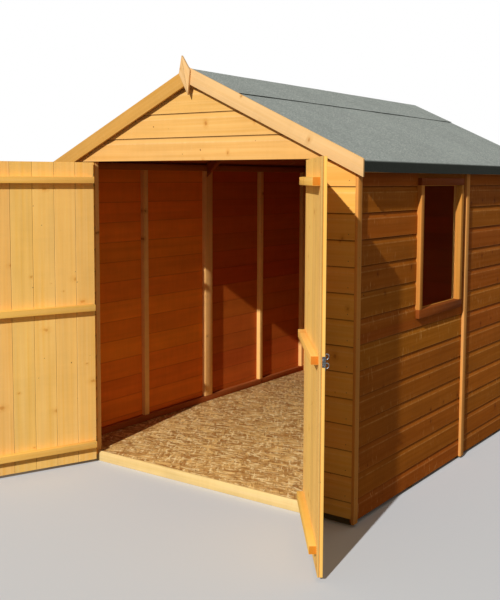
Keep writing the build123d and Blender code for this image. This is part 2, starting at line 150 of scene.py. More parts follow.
def softwood(name, look):
    # Year rings are the distance from a heart line beside the board, bent round the knots; soft bands and
    # a few streaks follow the grain, and torn grain shows as short pale flecks across it.
    # The torn flecks and the lips are pale partly as painted glints and highlights.
    t = timber
    material = bpy.data.materials.new(name)
    node = emptied(material)
    grain = node("Attribute", attribute_name="grain").outputs["Vector"]
    tone = node("SeparateXYZ", [node("Attribute", attribute_name="tone").outputs["Vector"]])
    inside = node("Attribute", attribute_name="inside").outputs["Fac"]
    noise = {}
    for key, (along, across) in t["noise"].items():
        stretched = node("VectorMath", [grain, (along, across, across)], operation="MULTIPLY")
        noise[key] = node("TexNoise", {"Vector": stretched, "Scale": 1.0, "Detail": t["detail"],
                                       "Roughness": t["breakUp"]})

    # knots: cells of a flat map, of which a share hold one, each with its own radius and a ragged outline
    bends, stray = t["ragged"]
    ragged = node("TexNoise", {"Vector": grain, "Scale": bends, "Detail": 1.0}).outputs["Color"]
    knots = []
    for every, share, radius, squash in (look["knots"], look["pins"]):
        flat = node("VectorMath", [grain, (1.0, squash, 0.0)], operation="MULTIPLY")
        flat = node("VectorMath", [ragged, (stray, stray, 0.0), flat], operation="MULTIPLY_ADD")
        cells = node("TexVoronoi", {"Vector": flat, "Scale": 1 / every}, voronoi_dimensions="2D")
        chance = node("SeparateColor", [cells.outputs["Color"]])
        size = node("MapRange", [chance, 1 - share, 1.0, 0.0, radius])
        size = node("Math", [size, t["leastKnot"]], operation="ADD")
        metres = node("Math", [cells.outputs["Distance"], every], operation="MULTIPLY")
        knots.append((size, node("Math", [metres, size], operation="DIVIDE")))
    size, ratio = knots[0]
    core = node("MapRange", [ratio, *t["core"], 1.0, 0.0], interpolation_type="SMOOTHSTEP")
    halo = node("MapRange", [ratio, *t["halo"], 1.0, 0.0], interpolation_type="SMOOTHSTEP")
    pin = node("MapRange", [knots[1][1], *t["pin"], 1.0, 0.0])

    taper = node("VectorMath", [grain, (0.0, 1.0, 1.0)], operation="MULTIPLY")
    heart = node("VectorMath", [taper], operation="LENGTH").outputs["Value"]
    wobble = node("Math", [noise["drift"], look["wander"], heart], operation="MULTIPLY_ADD")
    push = node("Math", [halo, size], operation="MULTIPLY")
    bent = node("Math", [push, t["aroundKnot"], wobble], operation="MULTIPLY_ADD")
    count = node("Math", [bent, look["ring"]], operation="DIVIDE")
    rings = node("TexNoise", {"W": count, "Scale": 1.0, "Detail": t["ringBreak"]}, noise_dimensions="1D")
    late = node("MapRange", [rings, *t["late"], 0.0, 1.0])

    # torn flecks gather in patches, and a lip is worn pale unevenly; both pale partly as painted glints and
    # highlights
    torn = node("MapRange", [noise["tears"], *t["tear"], 0.0, 1.0])
    patch = node("MapRange", [noise["drift"], *t["tearPatch"], 0.0, look["torn"]])
    flecks = node("Math", [torn, patch], operation="MULTIPLY")
    paleWearAndHighlight = node("MapRange", [noise["chatter"], *t["lipWearAndHighlight"], look["lip"]])
    lip = node("Math", [tone.outputs[2], paleWearAndHighlight], operation="MULTIPLY")
    lip = node("Math", [lip, 0.0], operation="MAXIMUM")
    # darker at the joints and slots, where the tone's third value is below zero: dirt and painted shade
    jointDirtAndShade = node("MapRange", [tone.outputs[2], -1.0, 0.0, 1.0, 0.0])

    lift = node("MapRange", [noise["streaks"], *t["paleStreak"]])
    layers = (
        (lift, "pale", 1.0), (late, "dark", look["ringDark"]), (halo, "dark", look["halo"]),
        (core, "knot", look["knotDark"]), (pin, "pin", t["pinDark"]), (flecks, "paleWearAndHighlight", 1.0),
        (lip, "paleWearAndHighlight", 1.0),
    )
    colour = linear(look["base"])
    for share, key, most in layers:
        share = node("Math", [share, most], operation="MULTIPLY")
        colour = node("Mix", {0: share, 6: colour, 7: linear(look[key])}, data_type="RGBA").outputs[2]
    reach = node("Math", [inside, look["insideShare"]], operation="MULTIPLY")
    stained = node("Mix", {0: reach, 6: colour, 7: linear(look["inside"])}, data_type="RGBA")
    value = node("Math", [tone.outputs[0], look["toneSpread"], 1.0], operation="MULTIPLY_ADD")
    value = node("Math", [jointDirtAndShade, -look["jointDirtAndShade"], value], operation="MULTIPLY_ADD")
    for key in ("bands", "cloud", "chatter"):
        shade = node("MapRange", [noise[key], *midRange, -look[key], look[key]])
        value = node("Math", [value, shade], operation="ADD")
    spread = look["hueSpread"]      # about a half, which leaves a hue as it is
    hue = node("MapRange", [tone.outputs[1], -1.0, 1.0, 0.5 - spread, 0.5 + spread])
    colour = node("HueSaturation", {"Hue": hue, "Value": value, "Color": stained.outputs[2]})

    height = node("Math", [late, t["ridge"], noise["fur"]], operation="MULTIPLY_ADD")
    height = node("Math", [flecks, t["pit"], height], operation="MULTIPLY_ADD")
    relief = node("Bump", {"Strength": look["bump"], "Distance": t["relief"], "Height": height})
    rough = (look["rough"] + t["sheen"], look["rough"] - t["sheen"])
    sheen = node("MapRange", [noise["streaks"], *midRange, *rough])
    wood = node("BsdfPrincipled", {"Base Color": colour, "Roughness": sheen, "Normal": relief,
                                   "Specular IOR Level": t["gloss"]})
    node("OutputMaterial", {"Surface": wood})
    return material


# Meshes

planedArris = 0.0012    # radius of a planed timber's edges
onFace = 0.0002         # metres within which a point counts as lying on a face
hair = 1e-6             # two lengths as near as this count as one
sharpFrom = 40          # degrees between two faces from which their edge shows sharp
arrisSteps = 3          # rings of points over an arris
cornerWide = 1.6        # a section's corners are this much wider than its end arrises

boardFrom = {
    "log": 60.0,            # metres of log that a board may come from
    "aside": 0.05,          # how far the heart may lie to a side of the board's middle
    "heart": (0.03, 0.11),  # and how far behind or before it
    "spread": 0.5,          # of tone and hue from board to board, which are held within 1
}


def gridQuads(index):
    # faces between neighbours in a grid of point numbers: (i, j), (i+1, j), (i+1, j+1), (i, j+1)
    corners = [index[..., :-1, :-1], index[..., 1:, :-1], index[..., 1:, 1:], index[..., :-1, 1:]]
    return np.stack(corners, -1).reshape(-1, 4)


def ringFaces(shape):
    # faces of tubes whose points are numbered by (tube, ring, place in the ring), and both end caps of each
    index = np.arange(math.prod(shape)).reshape(shape)
    closed = np.concatenate([index, index[..., :1]], -1)
    caps = [*index[..., 0, ::-1].reshape(-1, shape[-1]), *index[..., -1, :].reshape(-1, shape[-1])]
    return gridQuads(closed.swapaxes(-1, -2)), caps


def outward(profile):
    # runs a closed outline anticlockwise: its area, half the sum of x*dy - y*dx, is made positive
    ahead = np.roll(profile, -1, 0)
    area = (profile[:, 0] * ahead[:, 1] - profile[:, 1] * ahead[:, 0]).sum()
    return profile if area > 0 else profile[::-1]


def soften(profile, radius):
    # each corner becomes three points of the curve (1-t)^2*a + 2t(1-t)*corner + t^2*b, t = 0, 1/2, 1
    before = np.roll(profile, 1, 0) - profile
    after = np.roll(profile, -1, 0) - profile
    a = profile + before / np.linalg.norm(before, axis=1, keepdims=True) * radius
    b = profile + after / np.linalg.norm(after, axis=1, keepdims=True) * radius
    middle = (a + b) / 4 + profile / 2
    return np.stack([a, middle, b], 1).reshape(-1, 2)


def carry(profile, ends, axes, origin=(0, 0, 0), arris=0.0, cuts=((0, 0), (0, 0))):
    # A closed profile carried straight along: point = origin + u*U + v*V + w*W, and w at each end also
    # rises with the cut's slope times (u, v). Over an arris the profile shrinks by r(1 - sin a) while
    # w runs r(1 - cos a), a quarter turn.
    profile = outward(np.asarray(profile, float))
    if arris:
        profile = soften(profile, arris * cornerWide)
    edge = np.roll(profile, -1, 0) - profile
    edge /= np.maximum(np.linalg.norm(edge, axis=1, keepdims=True), hair)
    normal = np.column_stack([-edge[:, 1], edge[:, 0]])
    last = np.roll(normal, 1, 0)
    mitre = (normal + last) / (1 + (normal * last).sum(1, keepdims=True))
    turn = np.linspace(0, math.pi / 2, arrisSteps) if arris else np.zeros(1)
    shrink = arris * (1 - np.sin(turn)) if arris else np.zeros(1)
    run = arris * (1 - np.cos(turn))
    uv, w = [], []
    for end, cut, sign in ((ends[0], cuts[0], 1), (ends[1], cuts[1], -1)):
        order = slice(None, None, sign)
        rings = profile + shrink[order][:, None, None] * mitre
        uv.append(rings)
        w.append(end + sign * run[order][:, None] + rings @ np.asarray(cut, float))
    uv, w = np.concatenate(uv), np.concatenate(w)
    local = np.concatenate([uv, w[..., None]], 2)
    axes = np.asarray(axes, float)
    points = local @ axes + np.asarray(origin, float)
    quads, caps = ringFaces(w.shape)
    if np.linalg.det(axes) < 0:
        quads, caps = quads[:, ::-1], [cap[::-1] for cap in caps]
    return {"points": points.reshape(-1, 3), "quads": quads, "caps": caps,
            "local": local.reshape(-1, 3)}


def growGrain(shape, along, across, through, centre):
    # board coordinates (along, across, through) from its middle, moved by a random place in the log
    axes = np.array([along, across, through], float)
    aside, heart = boardFrom["aside"], boardFrom["heart"]
    place = np.array([draw.uniform(0, boardFrom["log"]), draw.uniform(-aside, aside),
                      draw.choice([-1, 1]) * draw.uniform(*heart)])
    shape["grain"] = (shape["points"] - np.asarray(centre, float)) @ axes.T + place
    rows = len(shape["points"])
    light, hue = np.clip(draw.normal(0, boardFrom["spread"], 2), -1, 1)
    lip = shape.pop("lip", np.zeros(rows))
    shape["tone"] = np.column_stack([np.full(rows, light), np.full(rows, hue), lip])
    shape.setdefault("inside", np.zeros(rows))
    return shape


def makePiece(name, shapes, material, body="shed", replaced=()):
    # joins shapes into one object at the origin, with their attributes
    first = np.cumsum([0] + [len(shape["points"]) for shape in shapes[:-1]])
    faces = []
    for shape, start in zip(shapes, first):
        faces += (shape["quads"] + start).tolist()
        faces += [(cap + start).tolist() for cap in shape["caps"]]
    mesh = bpy.data.meshes.new(name)
    mesh.from_pydata(np.concatenate([shape["points"] for shape in shapes]).tolist(), [], faces)
    for key in ("grain", "tone", "inside", "sheet", "layer"):
        if key not in shapes[0]:
            continue
        values = np.concatenate([shape[key] for shape in shapes]).astype(np.float32)
        kind, field = ("FLOAT_VECTOR", "vector") if values.ndim == 2 else ("FLOAT", "value")
        mesh.attributes.new(key, kind, "POINT").data.foreach_set(field, values.ravel())
    mesh.polygons.foreach_set("use_smooth", np.ones(len(mesh.polygons), bool))
    mesh.set_sharp_from_angle(angle=math.radians(sharpFrom))
    mesh.materials.append(material)
    mesh.update()
    piece = bpy.data.objects.new(name, mesh)
    bpy.context.scene.collection.objects.link(piece)
    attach(piece, body)
    if replaced:
        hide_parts(*replaced)


# Reading the frame

def solidsOf(node):
    # each separate solid's corner points: corners at one place, to 0.01 mm, share a label, and the lowest
    # label spreads over the triangles until nothing changes
    mesh = frame["nodes"][node].data
    points = np.empty(len(mesh.vertices) * 3)
    mesh.vertices.foreach_get("co", points)
    corners = np.empty(len(mesh.loops), int)
    mesh.loops.foreach_get("vertex_index", corners)
    place, same = np.unique(points.reshape(-1, 3).round(5), axis=0, return_inverse=True)
    triangles = same.reshape(-1)[corners].reshape(-1, 3)
    label = np.arange(len(place))
    settled = False
    while not settled:
        spread = label.copy()
        np.minimum.at(spread, triangles.ravel(), np.repeat(label[triangles].min(1), 3))
        settled = (spread == label).all()
        label = spread
    return [place[label == k] for k in np.unique(label)]


hinges = {joint["child"]: joint for joint in frame["joints"]}


def swung(points, body, opened):
    # turns points about a leaf's hinge, from closed to its open rest or back: with x and y from the pin,
    # (x*cos - y*sin, x*sin + y*cos)
    hinge = hinges[body]
    angle = math.radians(hinge["range_deg"][0]) * hinge["axis"][2] * (-1 if opened else 1)
    pin = np.array([*hinge["pos_m"][:2], 0.0])
    c, s = math.cos(angle), math.sin(angle)
    return (points - pin) @ np.array([[c, s, 0], [-s, c, 0], [0, 0, 1]]) + pin


def prismFrom(solid):
    # a planed member from a solid whose section lies in X and Z: its corners, to 0.1 mm, sorted by their
    # angle round the middle and carried along Y; the grain runs along the longest way
    flat = np.unique(solid[:, [0, 2]].round(4), axis=0)
    centre = flat.mean(0)
    outline = flat[np.argsort(np.arctan2(*(flat - centre).T[::-1]))]
    ends = (solid[:, 1].min(), solid[:, 1].max())
    shape = carry(outline, ends, ((1, 0, 0), (0, 0, 1), (0, 1, 0)), arris=planedArris)
    edges = np.roll(outline, -1, 0) - outline
    longest = edges[np.argmax((edges ** 2).sum(1))]
    way = longest / np.linalg.norm(longest)
    frameAxes = np.array([(way[0], 0, way[1]), (-way[1], 0, way[0]), (0, 1, 0)])
    size = np.ptp(solid @ frameAxes.T, axis=0)
    order = np.argsort(-size)
    middle = (solid.min(0) + solid.max(0)) / 2
    # end grain counts as inside, as it drinks the stain too; on the ledges and closing strip its orange is
    # also painted shade and bounced light
    along = np.abs((shape["points"] - middle) @ frameAxes[order[0]])
    shape["inside"] = (along > size.max() / 2 - onFace).astype(float)
    return growGrain(shape, *frameAxes[order], middle)


def planed(name, nodes, material, body="shed"):
    # stands for nodes made of plain members
    shapes = []
    for node in nodes:
        for solid in solidsOf(node):
            closed = solid if body == "shed" else swung(solid, body, False)
            shape = prismFrom(closed)
            if body != "shed":
                shape["points"] = swung(shape["points"], body, True)
            shapes.append(shape)
    makePiece(name, shapes, material, body, nodes)


# Timber finishes

# Pale along torn grain and lips, partly painted glints and highlights; inside a redder orange, partly painted
# light bounced between the red-brown walls.
# Planed whitewood dipped in amber stain and weathered a little: orange-brown, drawn darker and redder than
# the gable's copy of the same stain, as painted shade for walls in grazing light.
# Knots and pins: one cell every so many metres, share that holds one, largest radius, squash.
sideBoards = {
    "base": "#A05813", "pale": "#B0661B", "dark": "#803E0A", "knot": "#582609", "pin": "#43200C",
    "paleWearAndHighlight": "#E0A660", "inside": "#F0842A", "insideShare": 0.85, "knots": (0.17, 0.3, 0.010, 0.8),
    "pins": (0.11, 0.16, 0.003, 1.0), "knotDark": 0.6, "halo": 0.45, "jointDirtAndShade": 0.35, "ring": 0.011,
    "ringDark": 0.12, "wander": 0.02, "bands": 0.07, "cloud": 0.07, "chatter": 0.03, "torn": 0.75, "lip": 0.4,
    "toneSpread": 0.09, "hueSpread": 0.007, "bump": 0.4, "rough": 0.7,
}
# The same inside the rear half of the left wall, and inside the back wall: deeper and redder, as painted
# shade for the dim back of the room
rearBoardsPaintedShade = dict(sideBoards, inside="#BC5620")
backBoardsPaintedShade = dict(sideBoards, inside="#8D3A13", insideShare=0.9)
# The same stain on the sunny gable: honey yellow, planed clean, with small brown knots
frontBoards = dict(sideBoards, base="#DAA558", pale="#E6B66E", dark="#C58839", knot="#A8682A", pin="#6B3A16",
                   paleWearAndHighlight="#F4D09A", knots=(0.15, 0.4, 0.009, 0.7), ringDark=0.09, bands=0.04, cloud=0.04,
                   chatter=0.015, torn=0.12, lip=0.3, jointDirtAndShade=0.6, toneSpread=0.035, hueSpread=0.005)
# Lower front boards: the same stain, drawn a brighter, more orange yellow; the extra orange is painted shade,
# matched to the open leaf's shadow over them
lowFront = dict(frontBoards, base="#E7A84A", pale="#EFB862", dark="#C88736", paleWearAndHighlight="#F2C684")
# Barge boards and finial: the same, with pale sawn ends; over the left slope a deeper yellow
barges = dict(frontBoards, base="#DDB074", pale="#E9C08A", dark="#C8985A", insideShare=0.0)
deepBarge = dict(barges, base="#C69342", pale="#D4A458", dark="#AC7B34")
# Leaves: the palest boards, drawn paler than the same stain elsewhere as painted light, so that they read as
# sunlit; smooth, with long soft bands, tan knots that spread across the board, dark pins
leafPine = dict(frontBoards, base="#F9C465", pale="#FFD383", dark="#E5A544", knot="#CF8226", pin="#5E3212",
                knots=(0.15, 0.55, 0.011, 0.6), knotDark=0.55, halo=0.3, pins=(0.10, 0.22, 0.003, 1.0),
                ring=0.014, bands=0.05, torn=0.08, ringDark=0.06, toneSpread=0.04)
# Ledges and closing strip: as the leaves, a little deeper, with orange end grain, which drank the stain and
# whose orange also paints shade and bounced light
ledgePine = dict(leafPine, base="#F5BE5A", pale="#FCCC74", dark="#DE9C3E", inside="#CB7D27", insideShare=1.0)
# Sawn framing, drawn pale and yellow as painted light: it stands in for light bounced off the sunlit floor
# onto the studs and posts
framing = dict(sideBoards, base="#EFB666", pale="#F6C67E", dark="#C48A46", paleWearAndHighlight="#F8DCA8", knot="#8A4C1C",
               jointDirtAndShade=0.0, ringDark=0.2, rough=0.8, bump=0.8, insideShare=0.0, torn=0.2)
# Rails and roof timbers: the same wood, drawn darker and redder as painted shade for the high, dim parts of
# the shed
roofFraming = dict(framing, base="#9C5422", pale="#AA6330", dark="#743A14", paleWearAndHighlight="#E0A660", knot="#552409")
# Narrow planed strips: yellower, because their arrises take little stain
strips = dict(sideBoards, base="#DA9443", pale="#EAB068", dark="#B8742F", knots=(0.3, 0.3, 0.007, 0.8),
              insideShare=0.0, torn=0.2)
# Corner strips: the same, drawn deeper as painted shade for the open leaf's shadow over the corner
cornerStrips = dict(strips, base="#D28C3A", pale="#E0A25A", dark="#AE6E2E")
# Window stiles: as the strips, a little deeper
stiles = dict(strips, base="#C47F32", pale="#D29348", dark="#A3632A")
# Window rails: drawn red-brown and dark as painted shade, for the head in the eaves' shadow and the sill in
# grazing light
rails = dict(strips, base="#813E14", pale="#944E20", dark="#5C2A0C", paleWearAndHighlight="#C88A5C")
# Undipped spruce, sawn: pale straw
plainSpruce = dict(sideBoards, base="#DDBF7A", pale="#EACF94", dark="#C6A060", knot="#8E5A2C",
                   insideShare=0.0, torn=0.2, rough=0.8)
# Bearers: pressure-treated, green-brown, and drawn dark as painted shade for the gap under the walls
treated = dict(plainSpruce, base="#5C5034", pale="#6C6042", dark="#463C26", knot="#33291A")
# Roof boarding seen from inside: stained, drawn darker and redder as painted shade for the dim roof space
roofBoards = dict(sideBoards, base="#A0522A", pale="#AC6236", dark="#743416", insideShare=0.0)

shiplapPaintedShade = softwood("amberShiplapPaintedShade", sideBoards)
rearPaintedShade = softwood("rearShiplapPaintedShade", rearBoardsPaintedShade)
backPaintedShade = softwood("backShiplapPaintedShade", backBoardsPaintedShade)
frontStain = softwood("honeyDippedBoards", frontBoards)
bargeStain = softwood("honeyDippedBarges", barges)
deepBargeStain = softwood("deepDippedBarge", deepBarge)
framingPaintedLight = softwood("paleSawnFramingPaintedLight", framing)
roofFramingPaintedShade = softwood("darkRailsPaintedShade", roofFraming)
stripStain = softwood("dippedPlanedStrips", strips)
lowFrontPaintedShade = softwood("honeyLowBoardsPaintedShade", lowFront)
leafPaintedLight = softwood("palePlanedPinePaintedLight", leafPine)
ledgePaintedLightAndShade = softwood("pineOrangeEndsPaintedShade", ledgePine)
cornerStripPaintedShade = softwood("cornerStripsPaintedShade", cornerStrips)
stileStain = softwood("dippedWindowStiles", stiles)
windowRailPaintedShade = softwood("windowRailsPaintedShade", rails)
spruce = softwood("undippedSawnSpruce", plainSpruce)
treatedSprucePaintedShade = softwood("pressureTreatedSprucePaintedShade", treated)
roofBoardingPaintedShade = softwood("roofBoardsPaintedShade", roofBoards)
print("timber materials made")


# Shiplap walls

shiplap = {
    "cover": 0.1175,        # height of a board that shows
    "line": 1.642,          # one joint line, the rest follow by the cover
    "thick": 0.012,
    "coveTall": 0.025,      # hollow along the top of each board
    "coveDeep": 0.0054,
    "coveSteps": 6,
    "lipBack": 0.0053,      # depth of the lap behind the board above
    "lap": 0.0070,
    "lapGap": 0.0008,
    "arris": 0.0008,
    "wearAndHighlightReach": 0.005,          # how far the pale lip, wear and painted highlight, reaches over the face
    "footWearAndHighlight": 0.6,        # pale wear and painted highlight of the lower edge, beside the lip's
    "slot": 0.0032,         # gap under each board's lower edge, which reads as a dark line
    "joint": 0.001,         # how near the slot or the tongue's top the dirt and painted shade reach
    "dirtAndShade": (0.45, 1.0),    # dirt and painted shade in the joints, inside and outside
    "least": 0.05,          # no board is made for less than this share of a cover
    "offRidge": 0.004,
}


def shiplapProfile(low, clip):
    # (height, depth) round one board: back, rebate, square lower edge, face, and the cove, whose depth
    # falls from the face as 1 - sin over a quarter turn, then the tongue; heights held within clip
    s = shiplap
    turn = np.linspace(0, math.pi / 2, s["coveSteps"])
    cove = np.column_stack([
        s["cover"] - s["slot"] - s["coveTall"] * (1 - turn / turn[-1]),
        s["thick"] - s["coveDeep"] * np.sin(turn),
    ])
    foot = s["lap"] + s["lapGap"]
    below = np.array([
        (foot + s["wearAndHighlightReach"], 0), (foot, 0), (foot, s["lipBack"]), (0, s["lipBack"]),
        (0, s["thick"] - s["arris"]), (s["arris"], s["thick"]), (s["wearAndHighlightReach"], s["thick"]),
        (cove[0, 0] - s["wearAndHighlightReach"], s["thick"]),
    ])[::-1]
    tongue = s["lipBack"] - s["lapGap"]
    top = s["cover"] + s["lap"]
    above = np.array([(s["cover"], tongue), (top, tongue), (top, 0), (top - s["wearAndHighlightReach"], 0)])[::-1]
    profile = np.concatenate([above, cove[::-1], below])
    profile[:, 0] = np.clip(profile[:, 0] + low, *clip)
    apart = np.abs(profile - np.roll(profile, 1, 0)).sum(1) > hair
    return profile[apart]


def boardRow(low, clip, ends, out, face, cuts=((0, 0), (0, 0))):
    # one shiplap board: out is the wall's outward direction, face its inner plane along it
    s = shiplap
    out = np.array(out, float)
    way = np.abs(np.cross(out, (0, 0, 1)))
    shape = carry(shiplapProfile(low, clip), ends, ((0, 0, 1), out, way), origin=out * face, cuts=cuts)
    back = shape["local"][:, 1] < onFace
    shape["inside"] = back.astype(float)
    height = shape["local"][:, 0] - low
    edge = s["cover"] - s["slot"]
    lip = 1 - np.abs(height - edge + s["coveTall"]) / s["wearAndHighlightReach"]
    lip = np.clip(np.maximum(lip, s["footWearAndHighlight"] * (1 - height / s["wearAndHighlightReach"])), 0, 1) * ~back
    # joints get negative values, darkened as dirt and painted shade; the lip gets positive ones, pale as wear
    # and painted highlight
    tongue = (height < s["lap"] + s["lapGap"] + onFace) | (height > s["cover"] + s["lap"] - s["joint"])
    joint = np.where(back, tongue, height > edge - s["joint"])
    inside, outside = s["dirtAndShade"]
    shape["lip"] = np.where(joint, np.where(back, -inside, -outside), lip)
    return growGrain(shape, way, (0, 0, 1), out, out * face + (0, 0, low))


def boardLines(clip):
    # lower lines of the boards that meet a height range
    line, cover = shiplap["line"], shiplap["cover"]
    first = math.floor((clip[0] - line) / cover + hair)
    last = math.ceil((clip[1] - line) / cover - shiplap["least"])
    return [line + k * cover for k in range(first, last)]


def wallRows(node, out, ends=None, top=None):
    # the boards of one wall, over the node's own length and height unless told otherwise
    low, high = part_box(node)
    axis = 0 if out[0] else 1
    face = min(abs(low[axis]), abs(high[axis]))
    ends = ends or (low[1 - axis], high[1 - axis])
    clip = (low[2], top or high[2])
    return [boardRow(z, clip, ends, out, face) for z in boardLines(clip)]


gableLow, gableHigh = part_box("front_gable")
pitch = math.atan2(gableHigh[2] - gableLow[2], gableHigh[0])
slope = math.tan(pitch)
ridgeUnder = gableHigh[2]
wallTop = gableLow[2]
halfWidth = gableHigh[0]


def gableRows(node, out):
    # boards cut to the roof: each end lies at x = (ridge - z) / slope
    low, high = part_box(node)
    face = min(abs(low[1]), abs(high[1]))
    reach = ridgeUnder / slope
    cuts = ((1 / slope, 0), (-1 / slope, 0))
    clip = (wallTop, ridgeUnder - shiplap["offRidge"])
    return [boardRow(z, clip, (-reach, reach), out, face, cuts) for z in boardLines(clip)]


def makeWalls():
    right, left, front, back = (1, 0, 0), (-1, 0, 0), (0, -1, 0), (0, 1, 0)
    beside = "right_wall_beside_window"
    low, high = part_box(beside)
    windowLow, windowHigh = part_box("window_stiles")
    nodes = ["right_wall_below_window", "right_wall_over_window", "right_wall_rear"]
    rows = [row for node in nodes for row in wallRows(node, right)]
    for ends in ((low[1], windowLow[1]), (windowHigh[1], high[1])):
        rows += wallRows(beside, right, ends)
    makePiece("rightShiplap", rows, shiplapPaintedShade, replaced=[*nodes, beside])
    for name, stain in (("front", shiplapPaintedShade), ("rear", rearPaintedShade)):
        node = f"left_wall_{name}"
        makePiece(f"leftShiplap_{name}", wallRows(node, left), stain, replaced=[node])
    nodes = ["front_wall_left", "front_wall_right"]
    rows = [row for node in nodes for row in wallRows(node, front)]
    makePiece("frontShiplap", rows, lowFrontPaintedShade, replaced=nodes)
    rows = gableRows("front_gable", front)
    makePiece("gableShiplap", rows, frontStain, replaced=["front_gable"])
    rows = wallRows("back_wall", back, top=wallTop) + gableRows("back_wall", back)
    makePiece("backShiplap", rows, backPaintedShade, replaced=["back_wall"])


makeWalls()
print("shiplap walls made")


# Framing, strips and trim

def makeFraming():
    planed("leftStuds", ["left_wall_studs"], framingPaintedLight)
    planed("leftRails", ["left_wall_rails"], roofFramingPaintedShade)
    planed("rightStuds", ["right_wall_studs"], framingPaintedLight)
    planed("rightRails", ["right_wall_rails"], roofFramingPaintedShade)
    planed("frontPosts", ["front_posts"], framingPaintedLight)
    planed("frontRails", ["front_rails"], roofFramingPaintedShade)
    planed("backStuds", ["back_studs"], framingPaintedLight)
    planed("backRails", ["back_rails"], roofFramingPaintedShade)
    planed("rafters", ["rafters_left", "rafters_right"], roofFramingPaintedShade)
    planed("purlins", ["purlins"], roofFramingPaintedShade)
    planed("eavesBattens", ["eaves_battens"], framingPaintedLight)
    planed("trussGussets", ["truss_gussets"], roofFramingPaintedShade)
    planed("floorBearers", ["floor_bearers"], treatedSprucePaintedShade)
    planed("doorThreshold", ["door_threshold"], spruce)
    planed("cornerStrips", ["corner_strips"], cornerStripPaintedShade)
    planed("coverStrips", ["cover_strips"], stripStain)
    planed("windowStiles", ["window_stiles"], stileStain)
    planed("windowRails", ["window_rails"], windowRailPaintedShade)
    planed("frontBargeLeft", ["front_barge_left"], deepBargeStain)
    planed("frontBargeRight", ["front_barge_right"], bargeStain)
    planed("rearBarges", ["rear_barge_left", "rear_barge_right"], bargeStain)
    planed("frontFinial", ["front_finial"], bargeStain)


makeFraming()
print("framing made")


# Doors

leaf = {
    "firstSeam": 0.105,     # from the hinge edge
    "board": 0.1175,
    "least": 0.3,           # a last board under this share of one joins its neighbour
    "vee": 0.003,           # chamfers that meet in a vee on the outside
    "seam": 0.0016,         # small chamfers inside
    "gap": 0.0004,          # each board stands back this far from the joint
    "dirtAndShade": 0.7,            # dirt and painted shade in the joints
}


def leafBoards(body, node, out):
    # tongued boards side by side: each profile is a rectangle, chamfered outside and finely inside
    closed = swung(np.concatenate(solidsOf(node)), body, False)
    low, high = closed.min(0), closed.max(0)
    hinge, free = (low[0], high[0]) if body == "left_door" else (high[0], low[0])
    step = math.copysign(1, free - hinge)
    seams = [hinge]
    place = hinge + step * leaf["firstSeam"]
    while (free - place) * step > leaf["board"] * leaf["least"]:
        seams.append(place)
        place += step * leaf["board"]
    seams.append(free)
    v, h = leaf["vee"], leaf["seam"]
    shapes = []
    for a, b in zip(seams[:-1], seams[1:]):
        x0, x1 = min(a, b) + leaf["gap"], max(a, b) - leaf["gap"]
        profile = [(x0, high[1] - h), (x0 + h, high[1]), (x1 - h, high[1]), (x1, high[1] - h),
                   (x1, low[1] + v), (x1 - v, low[1]), (x0 + v, low[1]), (x0, low[1] + v)]
        shape = carry(profile, (low[2], high[2]), ((1, 0, 0), (0, 1, 0), (0, 0, 1)))
        # the joint between two boards is darkened: dirt and painted shade
        x = shape["local"][:, 0]
        shape["lip"] = -leaf["dirtAndShade"] * (np.minimum(x - x0, x1 - x) < onFace)
        growGrain(shape, (0, 0, 1), (1, 0, 0), (0, 1, 0), ((x0 + x1) / 2, low[1], 0))
        shape["points"] = swung(shape["points"], body, True)
        shapes.append(shape)
    makePiece(out, shapes, leafPaintedLight, body, [node])
    return seams, low[1]


leafSeams = {"left_door": leafBoards("left_door", "left_door_boards", "leftLeafBoards"),
             "right_door": leafBoards("right_door", "right_door_boards", "rightLeafBoards")}
planed("leftLedges", ["left_door_ledges"], ledgePaintedLightAndShade, body="left_door")
planed("rightLedges", ["right_door_ledges"], ledgePaintedLightAndShade, body="right_door")
planed("closingStrip", ["right_door_closing_strip"], ledgePaintedLightAndShade, body="right_door")
print("doors made")


# Roof

def slopeAxes(side):
    # down the slope, square off it, and along the ridge
    c, s = math.cos(pitch), math.sin(pitch)
    return ((side * c, 0, -s), (side * s, 0, c), (0, 1, 0))


roofing = {
    "board": 0.100,         # tongued boards laid along the ridge
    "least": 0.3,           # a last board under this share of one joins its neighbour
    "vee": 0.002,
    "thick": 0.0024,        # of the felt
    "bend": 0.010,          # radius where it turns down at the eaves
    "rows": (52, 7, 6),     # lines of points down the slope, round the bend and down the fold
    "columns": 110,         # and from front to back
    "wave": 0.0009,         # how far it lies off true
    "foldWave": 1.6,        # times that where it hangs
    "sag": 0.0025,          # unevenness of its lower edge
    "capRows": (18, 9),     # lines down each side of the cap, and over its crest
    "crest": 0.008,         # half the rounded crest
    "crestDrop": 0.0008,    # from the top of the CAD cap, so that the waves stay under it
    "edge": 0.06,           # strip along the cap's edges that curls and wanders
    "curl": 0.0006,
    "stray": 0.003,
    # wave length in metres, and seed
    "ripples": {"slope": (0.5, 5), "fold": (0.34, 8), "sag": (0.5, 3), "cap": (0.5, 31), "curl": (0.3, 41),
                "stray": (0.8, 37)},
    "waves": 6,             # sine waves added up in each, within these shares of that length
    "waveShare": (0.5, 1.6),
}


